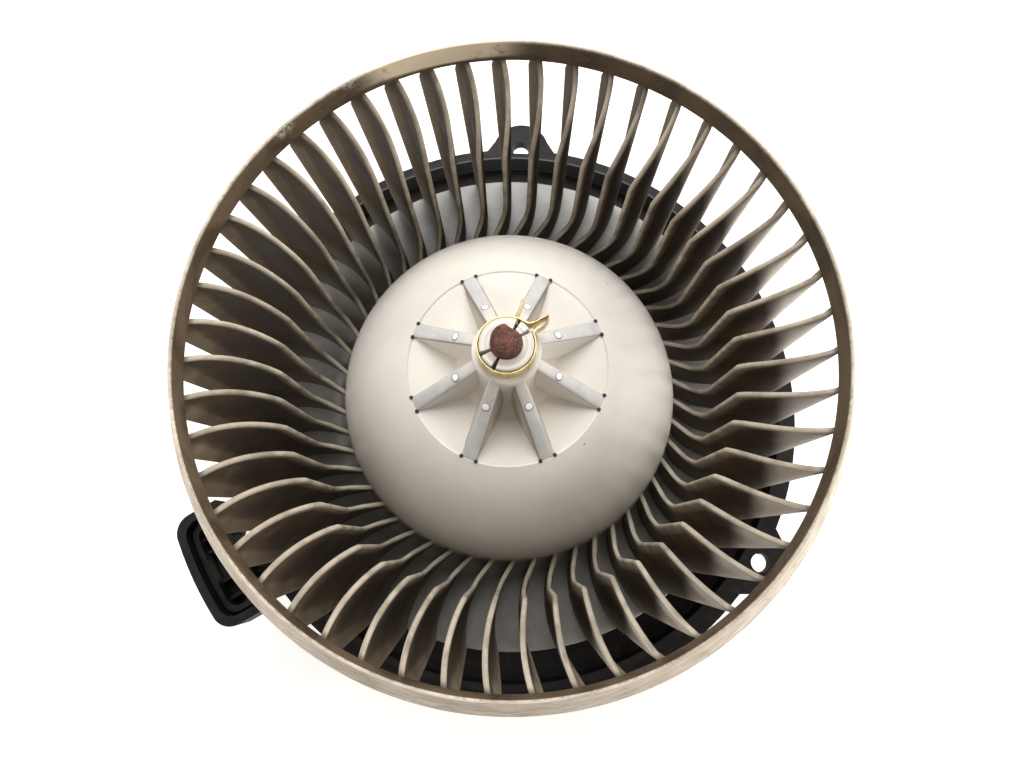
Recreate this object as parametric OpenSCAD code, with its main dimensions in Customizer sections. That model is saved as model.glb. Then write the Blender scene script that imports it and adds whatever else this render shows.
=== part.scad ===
// Car cabin blower motor: a bladed wheel on an electric motor, held by a flange.
// The origin is on the motor axis, on the flat face under the flange's motor cup.

/* [Wheel] */
// Outside radius of the wheel at the flared lower edge of its ring
wheel_r = 80; // [78:0.5:84]
// Height of the wheel from the underside of its base disc to the top of its ring
wheel_h = 71.5; // [69:0.5:78]
// Inside radius of the ring
ring_inner_r = 75; // [73:0.5:76]
// Height of the ring's flared band
ring_h = 10.2; // [9:0.2:12]
// Wall of the ring at its top edge
ring_wall = 1.2; // [1:0.1:1.6]
// Thickness of the base disc, the dome and the floor of the nose
wheel_wall = 2; // [1.6:0.1:2.4]
// Number of blades
blade_count = 51; // [45:1:55]
// Thickness of a blade
blade_t = 1.4; // [1.1:0.1:1.6]
// Radius of the curve that a blade follows, seen from above
blade_curve_r = 32.5; // [28:0.5:40]
// Radius at which a blade is furthest back in that curve
blade_low_r = 66.6; // [64:0.2:69]
// Inside radius of the tall part of a blade
blade_inner_r = 57.3; // [56:0.2:59]
// Depth of a blade's inner shoulder below its top end
blade_drop = 16.4; // [14:0.2:18]
// Height of a blade's foot above the base disc
blade_foot_h = 14.3; // [12:0.2:16]
// Outside radius of the blades just under the ring
blade_tip_r = 79.2; // [78:0.1:79.4]
// Angle that the blade's lip is turned from the radius
blade_lip_angle = 38; // [30:1:45]
// Turn of the first blade about the axis
blade_phase = -9.63; // [-10:0.1:0]

/* [Dome] */
// Outside radius of the dome where the blades' feet meet it
dome_r = 49.4; // [48:0.2:51]
// Radius of the round recess at the dome's nose
nose_r = 25.9; // [24:0.2:28]
// Height of the recess's edge above the base disc
nose_h = 43.4; // [42:0.2:45]
// Radius of the curve between the recess and the dome's foot
dome_curve_r = 45; // [40:1:60]
// Number of ribs in the recess
rib_count = 8; // [6:1:9]
// Width of a rib at its crest
rib_w = 3.9; // [3:0.1:4.4]
// Direction of the first rib
rib_start = 59.8; // [45:0.1:90]
// Angle that each side of a rib leans out
rib_draft = 4; // [1:0.5:6]
// Depth of the recess's floor below its edge
nose_sink = 0.8; // [0.4:0.1:1.2]
// Radius of the boss where the ribs meet it
boss_r = 8.4; // [8:0.1:9]
// Height of the boss's top above the edge of the recess
boss_h = 20.8; // [19:0.2:23]
// Height of the ribs' inner ends above the edge of the recess
rib_rise = 13.4; // [11:0.2:15]

/* [Clip] */
// Height of the spring clip's band
clip_h = 4.6; // [3:0.2:6]
// Thickness of the clip's strip
clip_t = 0.6; // [0.4:0.1:0.8]
// Length of the clip's two bent ends
clip_tang = 6; // [4:0.5:7]

/* [Shaft] */
// Radius of the motor shaft
shaft_r = 3.7; // [3:0.1:4]
// Depth of the flat at the shaft's end
shaft_flat = 0.9; // [0.4:0.1:1.2]
// Length that the shaft stands out of the boss
shaft_out = 4.6; // [0.6:0.2:5]
// Running clearance of the shaft in its bearings
bearing_gap = 0.03; // [0.01:0.01:0.08]

/* [Flange] */
// Radius of the flange's rim
rim_r = 92; // [91:0.5:94]
// Thickness of the flange plate
flange_t = 3; // [2.4:0.2:4]
// Height of the flange's underside above the rest face
flange_z = 49; // [45:1:52]
// Outside radius of the raised wall that enters the housing
spigot_r = 86.5; // [85.6:0.2:87.5]
// Thickness of that raised wall
spigot_wall = 2; // [1.6:0.2:2.6]
// Height of the raised wall above the flange's top face
spigot_h = 7; // [5:0.5:8]
// Radius of the circle that the three screw holes lie on
ear_r = 92; // [91:0.5:94]
// Radius of a screw hole
ear_hole_r = 2.9; // [2.2:0.1:3.2]
// Outside radius of a screw ear
ear_round_r = 9.6; // [8:0.2:10.5]
// Direction of the first screw ear
ear_angle = 79; // [76:1:82]
// Number of stiffening ribs under the flange
web_count = 12; // [8:1:16]
// Thickness of a stiffening rib
web_t = 2; // [1.4:0.2:3]

/* [Tray] */
// Direction of the open tray on the flange's edge
tray_angle = -158; // [-162:1:-156]
// Distance from the axis to the tray's outer face
tray_reach = 110.5; // [108:0.5:114]
// Width of the tray
tray_w = 37; // [32:1:42]
// Height of the tray's raised rim above the flange's underside
tray_h = 11; // [9:0.5:13]
// Thickness of the tray's walls and floor
tray_wall = 1.6; // [1.4:0.1:2]

/* [Motor] */
// Outside radius of the steel can
can_r = 33; // [32:0.5:35]
// Wall of the can
can_wall = 1.6; // [1.2:0.1:2]
// Height of the can
can_h = 74; // [72:1:78]
// Wall of the flange's cup round the can
cup_wall = 2.6; // [2:0.2:3.2]
// Floor of the cup
cup_floor = 4.4; // [4:0.2:5]
// Height of the cup's collar above the flange's top face
collar_h = 8; // [4:0.5:10]
// Thickness of the two magnets
magnet_t = 5.4; // [4.6:0.2:5.8]
// Angle that each magnet spans
magnet_span = 128; // [110:2:140]
// Gap between the magnets and the armature
air_gap = 0.6; // [0.5:0.1:1]
// Height of the armature's laminated core
core_h = 32; // [26:1:34]
// Number of slots in the armature
slot_count = 12; // [10:1:14]
// Radius of the commutator
comm_r = 11; // [10:0.5:12]
// Height of the commutator
comm_h = 13; // [11:0.5:14]
// Width of a carbon brush
brush_w = 6; // [5:0.5:7]
// Height of a carbon brush
brush_h = 7; // [6:0.5:8]
// Radius of the two sintered bearings
bearing_r = 7.5; // [7:0.1:8]
// Height of the two sintered bearings
bearing_h = 7; // [6:0.5:8]
// Radius of the shank of the screws under the cup
screw_r = 2; // [1.8:0.1:2.2]

/* [Connector] */
// Direction of the electrical connector
plug_angle = 19; // [15:1:25]
// Width of the connector's socket, outside
plug_w = 22; // [20:1:26]
// Height of the connector's socket, outside
plug_h = 14; // [12.6:0.2:16]
// Length of the socket outside the cup
plug_len = 18; // [16:1:22]
// Wall of the socket
plug_wall = 1.6; // [1.4:0.1:2]
// Width of a terminal blade
blade_tab_w = 6.3; // [4.8:0.1:6.3]

/* [Fits] */
// Gap between curved faces of pieces that don't touch
gap = 0.3; // [0.2:0.05:0.4]
// Gap all round a piece that is pressed into its seat
press_gap = 0.02; // [0.01:0.01:0.04]
// Running gap between the wheel's base disc and the flange below it
wheel_gap = 5.8; // [5:0.2:9]

/* [Hidden] */
$fn = 96;

// Heights, from the rest face up
flange_top = flange_z + flange_t;
wheel_z = flange_top + wheel_gap;
disc_top = wheel_z + wheel_wall;
ring_top = wheel_z + wheel_h;
ring_low = ring_top - ring_h;
blade_top = ring_top - 0.62 * ring_h;
nose_z = disc_top + nose_h;
floor_z = nose_z - nose_sink;
boss_top = nose_z + boss_h;
rib_inner_z = nose_z + rib_rise;
can_z = cup_floor;
can_top = can_z + can_h;
can_in = can_r - can_wall;
floor_in = can_z + can_wall;
plate_top = can_top + can_wall;

// Ring and blades
ring_low_in = ring_low + 1.4;
ring_lip = 0.7;
outline_curve_r = 32;
blade_root_r = dome_r - wheel_wall / 2;
blade_heel_drop = 2.4;
blade_base_r = ring_inner_r + 1.2;
blade_offset = -0.9;
blade_bite = 0.5;
blade_lip_start = ring_inner_r - 1.1;
disc_edge_r = ring_inner_r + 0.5;
dome_foot_h = 9.6;
fillet_r = 6;

// Boss and clip
boss_top_r = boss_r - 2;
clip_seat_z = boss_top - 5.6;
bore_r = shaft_r + press_gap;
slot_w = 0.9;
boss_slots = [-166, -126, 22, 54];
slot_floor = boss_top - 9;
clip_z = clip_seat_z + 0.2;
clip_in_r = boss_top_r + 0.1;
clip_angle = 38;
clip_gap_w = 3.2;
clip_flare = 22;
clip_end_r = clip_in_r + clip_t / 2 - 0.05;
shaft_top = boss_top + shaft_out;
shaft_flat_h = 18;
shaft_flat_angle = -45;

// Ears and tray
ear_extra = 0.4;
tray_in = ear_r + ear_hole_r + 1.6;
tray_corner = 6;
tray_rim_w = 2.6;
tray_groove_w = 1;
tray_step = 4.4;

// Inner pieces of the motor
magnet_out = can_in - gap;
magnet_in = magnet_out - magnet_t;
core_r = magnet_in - air_gap;
comm_z = floor_in + bearing_h + 5.2;
core_z = comm_z + comm_h + 8;
core_top = core_z + core_h;
magnet_z = core_z - 3;
magnet_h = core_h + 6;
spring_edge_gap = 0.6;
slot_r = 2.9;
slot_pos_r = core_r - 6.4;
wire_r = slot_r - gap;
coil_h = 6;
coil_in_r = slot_pos_r - 7;
coil_out_r = slot_pos_r + 3.4;
collar_wall = 1.8;
collar_out = bearing_r + collar_wall;
retainer_t = 0.6;
front_bearing_z = plate_top + 0.4;
front_retainer_z = front_bearing_z + bearing_h + 0.4;
boss_low = front_retainer_z + retainer_t + 1;
rear_retainer_z = floor_in + bearing_h + 0.2;
washer_t = 0.8;
washer_r = shaft_r + 2;
washer_gap = 0.2;

// Brush gear
brush_plate_t = 2;
brush_mid = comm_z + 6;
brush_plate_z = brush_mid - brush_h / 2 - 0.8 - brush_plate_t;
guide_wall = 0.8;
guide_gap = 0.1;
brush_in = comm_r + gap;
brush_len = 9;
brush_out = brush_in + brush_len;
guide_in = comm_r + 2;
guide_out = can_in - 2.4;
brush_plate_r = can_in - gap;

// Connector
cup_r = can_r + gap + cup_wall;
window_w = 12;
window_h = 9;
window_up = 14;
neck_w = plug_w - 6;
neck_h = 5;
neck_mid = brush_plate_z - neck_h / 2 - 0.4;
tab_t = 0.8;
tab_pitch = 9;
plug_z = neck_mid;

// Screws
screw_pos_r = 22;
screw_head_r = screw_r * 1.9;
screw_head_h = 2.2;
screw_sink = 0.5;

// Middle of the circle of radius r that runs through a and b, on b's inner side
function arc_mid(a, b, r) =
  let (d = b - a, m = (a + b) / 2, h = sqrt(r * r - d * d / 4), n = [d[1], -d[0]] / norm(d))
  m + n * h;

module at_angle(a) {
  rotate([0, 0, a]) children();
}

module around(count, start = 0) {
  for (i = [0 : count - 1]) at_angle(start + i * 360 / count) children();
}

module tube(out_r, in_r, h) {
  difference() {
    cylinder(r = out_r, h = h);
    translate([0, 0, -1]) cylinder(r = in_r, h = h + 2);
  }
}

// A box from x0 outward, centred on y and z
module bar(x0, x1, w, h, z) {
  translate([x0, -w / 2, z - h / 2]) cube([x1 - x0, w, h]);
}

// Side outline of a blade: top edge, inner shoulder, foot and outer edge
module blade_outline() {
  heel_z = disc_top + blade_foot_h - blade_heel_drop;
  shoulder = [blade_inner_r, blade_top - blade_drop];
  crest = [ring_inner_r + blade_bite, blade_top];
  mid = arc_mid(shoulder, crest, outline_curve_r);
  polygon([
    [blade_root_r, heel_z],
    [blade_inner_r, disc_top + blade_foot_h],
    shoulder,
    crest,
    [ring_inner_r + blade_bite, ring_low_in + 0.8],
    [blade_tip_r - 1.2, ring_low_in - 0.1],
    [blade_tip_r, ring_low - 2.4],
    [blade_base_r, wheel_z + wheel_wall / 2],
    [blade_root_r, wheel_z + wheel_wall / 2]
  ]);
  // The crown of the top edge
  intersection() {
    translate(mid) circle(r = outline_curve_r, $fn = 200);
    polygon([shoulder, crest, [crest[0], blade_top + 3], [blade_inner_r, blade_top + 3]]);
  }
}

// One blade: a curved web with a turned lip along its outer edge
module blade() {
  intersection() {
    rotate_extrude($fn = 200) blade_outline();
    union() {
      intersection() {
        translate([blade_low_r, blade_offset + blade_curve_r, 0]) difference() {
          cylinder(r = blade_curve_r + blade_t / 2, h = ring_top, $fn = 200);
          translate([0, 0, -1]) cylinder(r = blade_curve_r - blade_t / 2, h = ring_top + 2, $fn = 200);
        }
        translate([blade_root_r - 4, -5, 0]) cube([ring_inner_r + 0.4 - blade_root_r + 4, 14, ring_top]);
      }
      translate([blade_lip_start, -0.03, 0]) rotate([0, 0, blade_lip_angle])
        translate([0, -blade_t / 2, 0]) cube([8, blade_t * 0.8, ring_top]);
    }
  }
}

// Section of the ring, from its plain inner wall to its flared skirt
module ring_section() {
  polygon([
    [ring_inner_r, ring_low_in],
    [ring_inner_r, ring_top],
    [ring_inner_r + ring_wall, ring_top],
    [ring_inner_r + ring_wall + 0.5, ring_top - 2.2],
    [wheel_r, ring_low],
    [wheel_r - ring_lip, ring_low - 0.3],
    [ring_inner_r + 1.6, ring_low_in - 0.1]
  ]);
}

// Section of the base disc with the round root of the dome
module disc_section() {
  root_r = dome_r + 0.9 + fillet_r;
  difference() {
    translate([dome_r - wheel_wall, wheel_z])
      square([disc_edge_r - dome_r + wheel_wall, wheel_wall + fillet_r]);
    translate([root_r, disc_top]) square([disc_edge_r, fillet_r + 1]);
    translate([root_r, disc_top + fillet_r]) circle(r = fillet_r);
    translate([dome_r - wheel_wall - fillet_r + 1.4, wheel_z - fillet_r + 4]) circle(r = fillet_r);
  }
}

// Section of the dome between its foot and the recess at the nose
module dome_section() {
  foot = [dome_r, disc_top + dome_foot_h];
  nose = [nose_r, nose_z];
  mid = arc_mid(nose, foot, dome_curve_r);
  intersection() {
    difference() {
      translate(mid) circle(r = dome_curve_r, $fn = 200);
      translate(mid) circle(r = dome_curve_r - wheel_wall, $fn = 200);
    }
    polygon([mid, mid + 1.3 * (nose - mid), [dome_r + 9, nose_z + 9], mid + 1.3 * (foot - mid)]);
  }
  polygon([
    [dome_r + 0.9, disc_top + fillet_r - 0.1],
    foot,
    [dome_r - wheel_wall, disc_top + dome_foot_h - 0.4],
    [dome_r - wheel_wall, wheel_z + fillet_r - 1]
  ]);
}

// Section of the recess's floor and of the boss
module nose_section() {
  translate([bore_r, floor_z - wheel_wall]) square([nose_r - bore_r, wheel_wall]);
  polygon([
    [nose_r - wheel_wall, floor_z - wheel_wall],
    [nose_r - 0.6, floor_z],
    [nose_r, nose_z],
    [nose_r + 1, nose_z - 1.8],
    [nose_r, floor_z - wheel_wall - 0.4]
  ]);
  polygon([
    [bore_r, boss_low],
    [boss_r - 1, boss_low],
    [boss_r + 0.3, floor_z],
    [boss_r, clip_seat_z - 1],
    [boss_r - 0.5, clip_seat_z],
    [boss_top_r, clip_seat_z],
    [boss_top_r, boss_top - 0.4],
    [boss_top_r - 0.4, boss_top],
    [bore_r, boss_top]
  ]);
}

// One drafted rib with a round crest, from the recess's edge up to the boss
module nose_rib() {
  slope = atan2(rib_rise, nose_r - boss_r);
  deep = 22;
  run = (nose_r - boss_r) / cos(slope) + 12;
  half = rib_w / 2;
  intersection() {
    translate([nose_r, 0, nose_z]) rotate([0, slope, 0]) translate([6, 0, 0]) rotate([0, -90, 0])
      linear_extrude(run + 6) {
        translate([-half, 0]) circle(r = half);
        polygon([
          [-half, half], [-half, -half],
          [-deep, -half - deep * tan(rib_draft)], [-deep, half + deep * tan(rib_draft)]
        ]);
      }
    translate([0, 0, floor_z - wheel_wall / 2]) cylinder(r = nose_r + 0.2, h = boss_h + 6);
  }
}

// Dome, base disc and ribbed nose, with the split boss
module dome_and_disc() {
  difference() {
    union() {
      rotate_extrude($fn = 200) {
        disc_section();
        dome_section();
        nose_section();
      }
      around(rib_count, rib_start) nose_rib();
    }
    translate([0, 0, boss_low - 1]) cylinder(r = bore_r, h = boss_top - boss_low + 2);
    // Slots that let the boss close on the shaft
    for (a = boss_slots)
      at_angle(a) translate([0, -slot_w / 2, slot_floor]) cube([boss_r + 3, slot_w, boss_top]);
  }
}

module fan_wheel() {
  color("gainsboro") {
    dome_and_disc();
    rotate_extrude($fn = 200) ring_section();
    around(blade_count, blade_phase) blade();
  }
}

// Spring strip round the split boss, with two ends bent outward
module spring_clip() {
  end_y = clip_gap_w / 2 + 0.05;
  end_x = sqrt(clip_end_r * clip_end_r - end_y * end_y);
  color("goldenrod") translate([0, 0, clip_z]) linear_extrude(clip_h) rotate(clip_angle) {
    difference() {
      circle(r = clip_in_r + clip_t);
      circle(r = clip_in_r);
      translate([0, -clip_gap_w / 2]) square([clip_in_r * 2, clip_gap_w]);
    }
    // Each end starts within the band's own thickness, clear of the boss
    for (s = [-1, 1]) translate([end_x, s * end_y]) rotate(s * clip_flare)
      translate([0, s > 0 ? 0 : -clip_t]) square([clip_tang, clip_t]);
  }
}

module motor_shaft() {
  color("saddlebrown") difference() {
    union() {
      translate([0, 0, floor_in + 0.4]) cylinder(r = shaft_r, h = shaft_top - floor_in - 1);
      translate([0, 0, shaft_top - 0.6]) cylinder(r1 = shaft_r, r2 = shaft_r - 0.5, h = 0.6);
    }
    at_angle(shaft_flat_angle) translate([-shaft_r, shaft_r - shaft_flat, shaft_top - shaft_flat_h])
      cube([shaft_r * 2, shaft_r, shaft_flat_h + 1]);
  }
}

module armature_core() {
  color("dimgray") translate([0, 0, core_z]) difference() {
    cylinder(r = core_r, h = core_h);
    translate([0, 0, -1]) cylinder(r = shaft_r + press_gap, h = core_h + 2);
    around(slot_count) {
      translate([slot_pos_r, 0, -1]) cylinder(r = slot_r, h = core_h + 2);
      bar(slot_pos_r, core_r + 2, 1.8, core_h * 3, 0);
    }
  }
}

// Copper coils: a round bundle in each slot, joined by an overhang at each end
module armature_winding() {
  color("sienna") {
    around(slot_count) translate([slot_pos_r, 0, core_z - 1])
      cylinder(r = wire_r, h = core_h + 2);
    for (z = [core_z - coil_h, core_top])
      translate([0, 0, z]) rotate_extrude() {
        translate([coil_in_r + 1, 0]) square([coil_out_r - coil_in_r - 2, coil_h]);
        translate([coil_in_r, 1]) square([coil_out_r - coil_in_r, coil_h - 2]);
      }
  }
}

module commutator() {
  color("chocolate") translate([0, 0, comm_z]) difference() {
    union() {
      cylinder(r = comm_r, h = comm_h);
      translate([0, 0, comm_h - 1.6]) cylinder(r = comm_r + 1.6, h = 1.6);
    }
    translate([0, 0, -1]) cylinder(r = shaft_r + press_gap, h = comm_h + 2);
    around(slot_count) bar(comm_r - 1, comm_r + 3, 0.6, comm_h * 3, 0);
  }
}

// Spacers that hold the shaft endwise: a washer in front, a short collar behind
module shaft_spacers() {
  collar_z = rear_retainer_z + retainer_t + washer_gap;
  color("ivory") {
    translate([0, 0, collar_z]) tube(washer_r, shaft_r + press_gap, comm_z - collar_z);
    translate([0, 0, front_bearing_z - washer_gap - washer_t])
      tube(washer_r, shaft_r + press_gap, washer_t);
  }
}

// A screw ear in the flange's plane, with straight sides from its base to its round end
module ear(h) {
  base_r = rim_r - 6;
  base_w = 15;
  d = norm([ear_r - base_r, base_w]);
  t = atan2(base_w, base_r - ear_r) - acos(ear_round_r / d);
  side_r = ear_round_r - 0.3;
  translate([ear_r, 0, 0]) cylinder(r = ear_round_r, h = h);
  linear_extrude(h) polygon([
    [base_r - 4, -base_w], [base_r, -base_w],
    [ear_r + side_r * cos(t), -side_r * sin(t)],
    [ear_r + side_r * cos(t), side_r * sin(t)],
    [base_r, base_w], [base_r - 4, base_w]
  ]);
}

// Plan of the tray: an arc outside, two round corners and two sides, all moved in by d
module tray_plan(d) {
  out_r = tray_reach - d;
  q = tray_corner - d / 2;
  side = tray_w / 2 - d;
  turn = asin((side - q) / (out_r - q));
  mid_x = (out_r - q) * cos(turn);
  inner_x = tray_in + d - 2;
  for (s = [-1, 1]) translate([mid_x, s * (side - q)]) circle(r = q);
  polygon([[inner_x, -side], [mid_x, -side], [mid_x, side], [inner_x, side]]);
  intersection() {
    circle(r = out_r, $fn = 200);
    polygon([[inner_x, -side + q], [out_r * 1.2, -out_r * 1.2 * tan(turn)],
      [out_r * 1.2, out_r * 1.2 * tan(turn)], [inner_x, side - q]]);
  }
}

module tray() {
  rim_z = tray_h;
  difference() {
    linear_extrude(rim_z) tray_plan(0);
    // The open inside, below a stepped rim with a groove
    translate([0, 0, tray_wall]) linear_extrude(rim_z) tray_plan(tray_rim_w + tray_groove_w + tray_wall);
    translate([0, 0, rim_z - 2.4]) linear_extrude(rim_z) tray_plan(tray_rim_w);
    translate([0, 0, rim_z - 5]) linear_extrude(rim_z) difference() {
      tray_plan(tray_rim_w);
      tray_plan(tray_rim_w + tray_groove_w);
    }
    translate([tray_reach - tray_rim_w - tray_step - 3.6, -5.2, -1]) cube([4, 7.6, rim_z * 2]);
  }
  // Low ribs across the floor
  for (y = [-10.6, -6.4, 3.6, 9.4])
    translate([tray_in - 1, y, 0.4]) cube([tray_reach - tray_in - tray_step - 0.4, 1, rim_z - 5.4]);
}

// Stiffening rib under the flange, deep at the cup and shallow at the rim
module web() {
  rotate([90, 0, 0]) translate([0, 0, -web_t / 2]) linear_extrude(web_t) polygon([
    [cup_r - 1, flange_z - 20], [cup_r + 6, flange_z - 18],
    [rim_r - 8, flange_z - 3], [rim_r - 5, flange_z + 0.5], [cup_r - 1, flange_z + 0.5]
  ]);
}

module mounting_flange() {
  color([0.09, 0.09, 0.1]) difference() {
    union() {
      // Cup, plate, raised wall and rim in one revolved section
      rotate_extrude($fn = 200) {
        translate([cup_r - cup_wall, 0]) square([cup_wall, flange_top + collar_h]);
        square([cup_r - 0.6, cup_floor]);
        translate([0, 0.6]) square([cup_r, cup_floor - 0.6]);
        translate([cup_r - 1, flange_z]) square([rim_r - cup_r + 1, flange_t]);
        translate([spigot_r - spigot_wall, flange_z]) square([spigot_wall, flange_t + spigot_h]);
        translate([rim_r - 1.6, flange_z - 3]) square([1.6, 4]);
        translate([50, flange_z]) square([2, flange_t + 1.6]);
      }
      around(3, ear_angle) translate([0, 0, flange_z - ear_extra]) difference() {
        ear(flange_t + 2 * ear_extra);
        cylinder(r = spigot_r - 1, h = 3 * flange_t, center = true);
      }
      around(web_count, ear_angle - 15) web();
      at_angle(tray_angle) translate([0, 0, flange_z]) difference() {
        union() {
          tray();
          translate([rim_r - 8, -tray_w / 2 + 2.3, 0.3]) cube([11.6, tray_w - 4.6, flange_t - 0.7]);
        }
        cylinder(r = spigot_r - 1, h = 40, center = true);
      }
    }
    around(3, ear_angle) translate([ear_r, 0, flange_z - 5]) cylinder(r = ear_hole_r, h = 30);
    // Cooling windows in the cup, clear of the connector
    for (i = [1 : 5])
      at_angle(plug_angle + i * 60)
        bar(cup_r - cup_wall - 1, cup_r + 1, window_w, window_h, cup_floor + window_up);
    // Window for the connector's neck
    at_angle(plug_angle)
      bar(cup_r - cup_wall - 1, cup_r + 1, neck_w + 2 * gap, neck_h + 2 * gap, neck_mid);
    around(3, ear_angle) translate([screw_pos_r, 0, -1]) {
      cylinder(r = screw_r + gap, h = cup_floor + 2);
      cylinder(r = screw_head_r + gap, h = 1 + screw_sink + screw_head_h);
    }
  }
}

module motor_can() {
  color("silver") difference() {
    union() {
      translate([0, 0, can_z]) tube(can_r, can_in, can_h);
      translate([0, 0, can_z]) cylinder(r = can_r - 1, h = can_wall);
      // Pocket for the rear bearing
      translate([0, 0, can_z]) cylinder(r = collar_out, h = can_wall + bearing_h + 0.2);
    }
    translate([0, 0, floor_in]) cylinder(r = bearing_r + press_gap, h = bearing_h + 1);
    at_angle(plug_angle)
      bar(can_in - 2, can_r + 1, neck_w + 2 * gap, neck_h + 2 * gap, neck_mid);
    around(3, ear_angle) translate([screw_pos_r, 0, can_z - 1]) cylinder(r = screw_r + press_gap, h = can_wall + 2);
  }
}

// Cover of the can, with the pocket of the front bearing
module end_plate() {
  color("lightgray") translate([0, 0, can_top]) difference() {
    union() {
      cylinder(r = can_r, h = can_wall);
      translate([0, 0, -2]) cylinder(r = can_in - gap, h = 2.4);
      cylinder(r = collar_out, h = can_wall + bearing_h + 0.8);
    }
    translate([0, 0, -4]) cylinder(r = washer_r + 0.6, h = 30);
    translate([0, 0, -3]) cylinder(r = can_in - 2.4, h = 3.01);
    translate([0, 0, front_bearing_z - can_top]) cylinder(r = bearing_r + press_gap, h = 20);
    // Vents
    around(6, 15) translate([19, 0, -3]) cylinder(r = 4, h = 9);
  }
}

module bearing() {
  tube(bearing_r, shaft_r + bearing_gap, bearing_h);
}

module front_bearing() {
  color("peru") translate([0, 0, front_bearing_z]) bearing();
}

module rear_bearing() {
  color("peru") translate([0, 0, floor_in]) bearing();
}

// Sprung star washer that holds a bearing in its pocket
module retainer() {
  difference() {
    tube(collar_out + 1.6, shaft_r + 1.6, retainer_t);
    around(6) bar(collar_out + 0.2, collar_out + 3, 2, 4, 0);
  }
}

module front_bearing_retainer() {
  color("steelblue") translate([0, 0, front_retainer_z]) retainer();
}

module rear_bearing_retainer() {
  color("steelblue") translate([0, 0, rear_retainer_z]) retainer();
}

module magnet(a) {
  color("darkslategray") translate([0, 0, magnet_z]) intersection() {
    tube(magnet_out, magnet_in, magnet_h);
    at_angle(a) linear_extrude(magnet_h) polygon([
      [0, 0],
      for (t = [-magnet_span / 2, -magnet_span / 4, 0, magnet_span / 4, magnet_span / 2])
        2 * can_r * [cos(t), sin(t)]
    ]);
  }
}

module magnet_left() {
  magnet(plug_angle + 180);
}

module magnet_right() {
  magnet(plug_angle);
}

// Bowed springs that push the two magnets apart
module magnet_springs() {
  color("slategray") for (s = [0, 180])
    at_angle(plug_angle + 90 + s) translate([0, 0, magnet_z + 3]) intersection() {
      tube(magnet_in + 2.4, magnet_in + 1.2, magnet_h - 6);
      span = 90 - magnet_span / 2 - spring_edge_gap;
      linear_extrude(magnet_h) polygon([
        [0, 0],
        2 * can_r * [cos(span), sin(span)],
        [2 * can_r, 0],
        2 * can_r * [cos(span), -sin(span)]
      ]);
    }
}

module brush_plate() {
  color("peru") translate([0, 0, brush_plate_z]) difference() {
    cylinder(r = brush_plate_r, h = brush_plate_t);
    translate([0, 0, -1]) cylinder(r = comm_r + 2.6, h = brush_plate_t + 2);
    around(3, ear_angle) translate([screw_pos_r, 0, -1]) cylinder(r = 4, h = 9);
  }
}

module brush(a) {
  color([0.2, 0.2, 0.22]) at_angle(a) bar(brush_in, brush_out, brush_w, brush_h, brush_mid);
}

module brush_left() {
  brush(plug_angle + 180);
}

module brush_right() {
  brush(plug_angle);
}

// Brass boxes that the brushes slide in, closed at their outer ends
module brush_guides() {
  color("gold") for (s = [0, 180])
    at_angle(plug_angle + s) difference() {
      bar(guide_in, guide_out, brush_w + 2 * guide_wall, brush_h + 2 * 0.8, brush_mid);
      bar(guide_in - 1, guide_out - guide_wall, brush_w + 2 * guide_gap, brush_h + 2 * guide_gap, brush_mid);
    }
}

// Coil springs behind the brushes, each shown as its outer tube
module brush_springs() {
  color("silver") for (s = [0, 180])
    at_angle(plug_angle + s) translate([brush_out, 0, brush_mid]) rotate([0, 90, 0])
      tube(2.4, 1.6, guide_out - guide_wall - brush_out);
}

// Socket with a neck that passes through the cup and the can
module connector_housing() {
  x0 = cup_r + 0.1;
  x1 = cup_r + plug_len;
  color([0.16, 0.16, 0.17]) at_angle(plug_angle) difference() {
    union() {
      difference() {
        bar(cup_r - 1, x1, plug_w, plug_h, plug_z);
        cylinder(r = x0, h = flange_z);
      }
      bar(can_in - 1, cup_r + 2, neck_w, neck_h, neck_mid);
      // Latch ramp on top
      translate([x1 - 8, -3, plug_z + plug_h / 2 - 0.2]) cube([4, 6, 1.6]);
    }
    bar(cup_r + 4, x1 + 1, plug_w - 2 * plug_wall, plug_h - 2 * plug_wall, plug_z);
    for (s = [-1, 1])
      translate([0, s * tab_pitch / 2, 0])
        bar(can_in - 4, x1, blade_tab_w, tab_t, neck_mid);
  }
}

module connector_terminals() {
  color("goldenrod") at_angle(plug_angle) for (s = [-1, 1]) translate([0, s * tab_pitch / 2, 0]) {
    bar(guide_out - 3, cup_r + plug_len - 5, blade_tab_w, tab_t, neck_mid);
  }
}

module motor_screws() {
  color("lightsteelblue") around(3, ear_angle) translate([screw_pos_r, 0, screw_sink]) {
    difference() {
      cylinder(r = screw_head_r, h = screw_head_h);
      bar(-screw_r, screw_r, 1, 1.6, 0);
      bar(-0.5, 0.5, screw_r * 2, 1.6, 0);
    }
    translate([0, 0, screw_head_h - 0.6]) cylinder(r = screw_r, h = floor_in - screw_sink - 0.8);
  }
}

fan_wheel();
spring_clip();
motor_shaft();
armature_core();
armature_winding();
commutator();
shaft_spacers();
mounting_flange();
motor_can();
end_plate();
front_bearing();
rear_bearing();
front_bearing_retainer();
rear_bearing_retainer();
magnet_left();
magnet_right();
magnet_springs();
brush_plate();
brush_left();
brush_right();
brush_guides();
brush_springs();
connector_housing();
connector_terminals();
motor_screws();
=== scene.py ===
"""Car cabin blower motor, dressed over the CAD frame for a studio picture."""
import math

import bmesh
import bpy
import numpy as np
from mathutils import Matrix, Vector


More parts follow.
